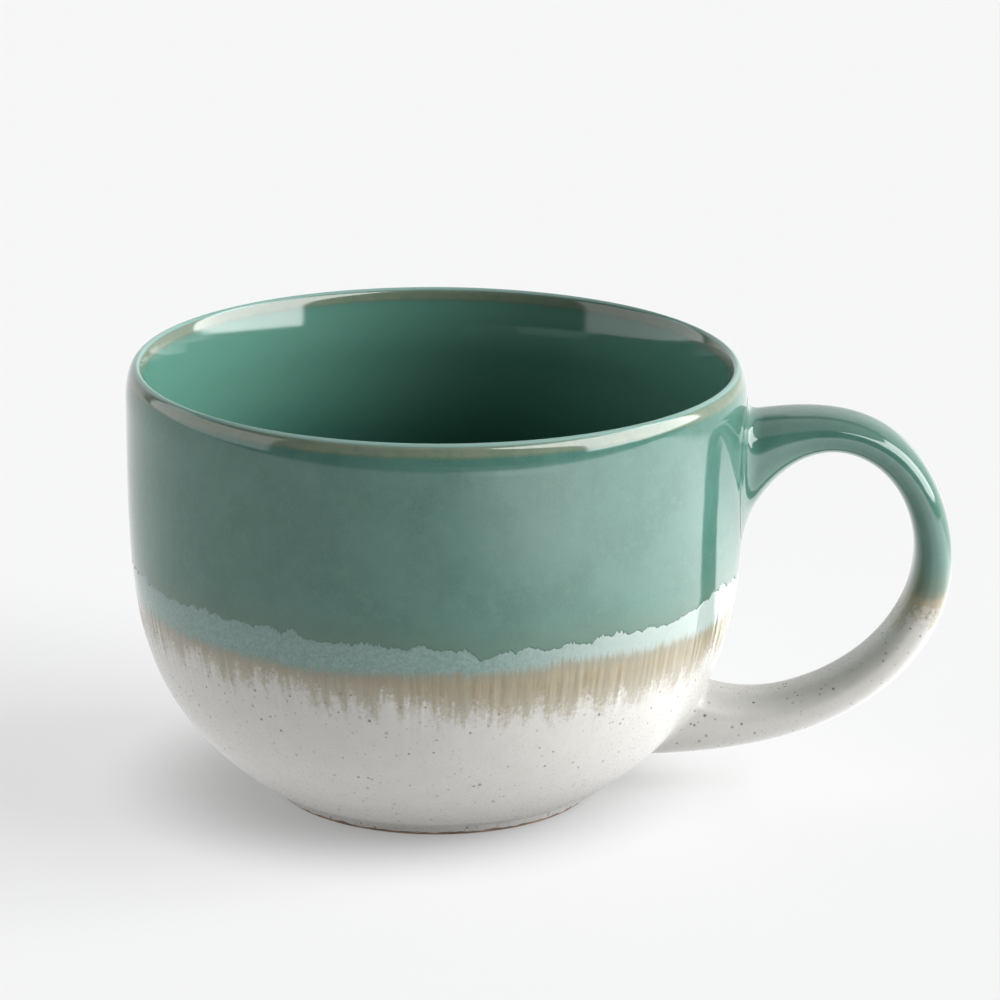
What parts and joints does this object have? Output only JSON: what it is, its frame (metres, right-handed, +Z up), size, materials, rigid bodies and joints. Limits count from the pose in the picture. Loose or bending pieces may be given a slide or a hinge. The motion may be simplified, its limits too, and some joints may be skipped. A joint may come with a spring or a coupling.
{
  "type": "ceramic mug",
  "caption": "Wide rounded stoneware mug on a low foot ring, with one strap handle, green glaze above and speckled off-white glaze below.",
  "frame": {"origin": "centre of the foot ring's standing face, on the bowl's axis", "axes": "+Z up along the bowl's axis, +X towards the handle"},
  "size_m": [0.1499, 0.112, 0.08],
  "materials": {
    "stoneware_clay": "bare fired stoneware, matt and slightly gritty",
    "joining_slip": "fired joining slip, matt, hidden under the glaze",
    "green_glaze": "glossy sea-green glaze that breaks tan on the lip",
    "lap_glaze": "glossy lap of two glazes, pale blue above and tan streaks below",
    "speckled_glaze": "satin off-white glaze with small dark iron specks"
  },
  "bodies": {
    "root": {"bowl_body": "stoneware_clay", "handle_core": "stoneware_clay", "handle_joint_upper": "joining_slip", "handle_joint_lower": "joining_slip", "liner_glaze": "green_glaze", "upper_glaze": "green_glaze", "lap_band_glaze": "lap_glaze", "base_glaze": "speckled_glaze", "recess_glaze": "speckled_glaze", "handle_upper_glaze": "green_glaze", "handle_lap_glaze": "lap_glaze", "handle_base_glaze": "speckled_glaze"}
  },
  "joints": []
}
